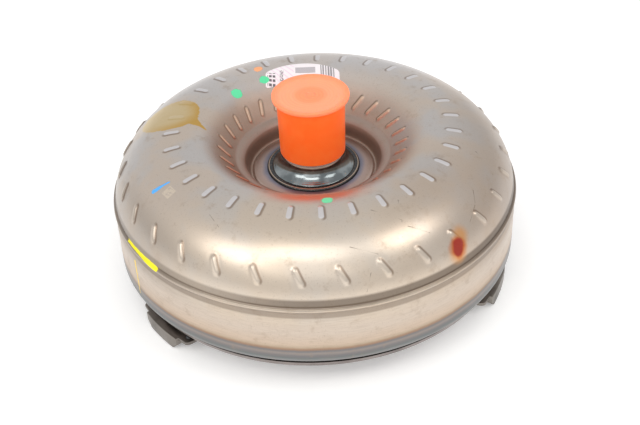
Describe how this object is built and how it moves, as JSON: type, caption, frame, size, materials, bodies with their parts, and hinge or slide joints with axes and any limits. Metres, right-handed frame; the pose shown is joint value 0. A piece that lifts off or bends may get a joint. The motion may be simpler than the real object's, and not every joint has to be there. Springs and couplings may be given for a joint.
{
  "type": "torque converter",
  "caption": "Lock-up torque converter: welded steel housing with impeller, turbine, stator, clutch and damper, standing on mounting lugs under a transport cap.",
  "frame": {"origin": "on the axis of rotation, in the plane of the lug nuts' lower faces, which is the floor it stands on", "axes": "+Z along the axis of rotation, from the engine side up through the pump hub; +X and +Y are level, with the label at +Y"},
  "size_m": [0.2808, 0.2808, 0.1379],
  "materials": {
    "shell_steel": "drawn steel, satin, with a warm oxide tint",
    "cover_steel": "drawn steel, satin grey",
    "lug_steel": "stamped steel with a phosphate film",
    "hub_steel": "turned and hardened steel, oiled",
    "weld": "dark weld bead",
    "inner_steel": "pressed steel, clean and oiled",
    "bearing_steel": "ground and hardened steel",
    "spring_steel": "oil-tempered spring steel",
    "cast_aluminium": "die cast",
    "friction_paper": "oil-soaked friction paper",
    "seal_rubber": "moulded seal",
    "label_paper": "printed paper label",
    "cap_plastic": "soft moulded plastic, orange"
  },
  "bodies": {
    "housing": {"impeller_shell": "shell_steel", "impeller_blades": "inner_steel", "impeller_core_ring": "inner_steel", "impeller_hub": "hub_steel", "hub_weld": "weld", "seam_weld": "weld", "identity_label": "label_paper", "front_cover": "cover_steel", "pilot_boss": "cover_steel", "mounting_lugs": "lug_steel", "lug_nuts": "lug_steel", "lug_welds": "weld", "balance_weight": "lug_steel", "cover_bearing_lower_washer": "bearing_steel", "hub_bearing_upper_washer": "bearing_steel"},
    "turbine": {"turbine_shell": "inner_steel", "turbine_blades": "inner_steel", "turbine_core_ring": "inner_steel", "turbine_hub": "inner_steel", "turbine_rivets": "inner_steel", "driven_plate": "inner_steel", "piston_seal": "seal_rubber", "cover_bearing_upper_washer": "bearing_steel", "stator_bearing_lower_washer": "bearing_steel"},
    "damper": {"damper_retainer": "inner_steel", "damper_springs": "spring_steel"},
    "lockup_clutch": {"lockup_piston": "inner_steel", "friction_lining": "friction_paper"},
    "stator": {"stator_wheel": "cast_aluminium", "clutch_cam": "bearing_steel", "clutch_rollers": "bearing_steel", "clutch_springs": "spring_steel", "clutch_end_plates": "inner_steel", "stator_snap_ring": "spring_steel", "stator_bearing_upper_washer": "bearing_steel", "hub_bearing_lower_washer": "bearing_steel"},
    "stator_race": {"clutch_inner_race": "bearing_steel"},
    "cover_bearing": {"cover_bearing_cage": "bearing_steel", "cover_bearing_needles": "bearing_steel"},
    "hub_bearing": {"hub_bearing_cage": "bearing_steel", "hub_bearing_needles": "bearing_steel"},
    "stator_bearing": {"stator_bearing_cage": "bearing_steel", "stator_bearing_needles": "bearing_steel"},
    "cap": {"transport_cap": "cap_plastic"}
  },
  "joints": [
    {"name": "turbine_spin", "type": "hinge", "parent": "housing", "child": "turbine", "pos_m": [0, 0, 0.05], "axis": [0, 0, 1], "continuous": true},
    {"name": "damper_twist", "type": "hinge", "parent": "turbine", "child": "damper", "pos_m": [0, 0, 0.0332], "axis": [0, 0, 1], "range_deg": [-6, 6], "deforming": ["damper_springs"]},
    {"name": "piston_travel", "type": "slide", "parent": "damper", "child": "lockup_clutch", "axis": [0, 0, 1], "range_m": [0, 0.001]},
    {"name": "stator_spin", "type": "hinge", "parent": "housing", "child": "stator", "pos_m": [0, 0, 0.071], "axis": [0, 0, 1], "continuous": true},
    {"name": "race_spin", "type": "hinge", "parent": "stator", "child": "stator_race", "pos_m": [0, 0, 0.06625], "axis": [0, 0, 1], "continuous": true},
    {"name": "cover_bearing_roll", "type": "hinge", "parent": "housing", "child": "cover_bearing", "pos_m": [0, 0, 0.013], "axis": [0, 0, 1], "continuous": true},
    {"name": "hub_bearing_roll", "type": "hinge", "parent": "housing", "child": "hub_bearing", "pos_m": [0, 0, 0.0745], "axis": [0, 0, 1], "continuous": true},
    {"name": "stator_bearing_roll", "type": "hinge", "parent": "hub_bearing", "child": "stator_bearing", "pos_m": [0, 0, 0.058], "axis": [0, 0, 1], "continuous": true},
    {"name": "cap_pull", "type": "slide", "parent": "housing", "child": "cap", "axis": [0, 0, 1], "range_m": [0, 0.05]}
  ],
  "couplings": [
    {"joint": "cover_bearing_roll", "follows": "turbine_spin", "ratio": 0.5},
    {"joint": "stator_bearing_roll", "follows": "turbine_spin", "ratio": 0.5},
    {"joint": "hub_bearing_roll", "follows": "stator_spin", "ratio": 0.5}
  ]
}
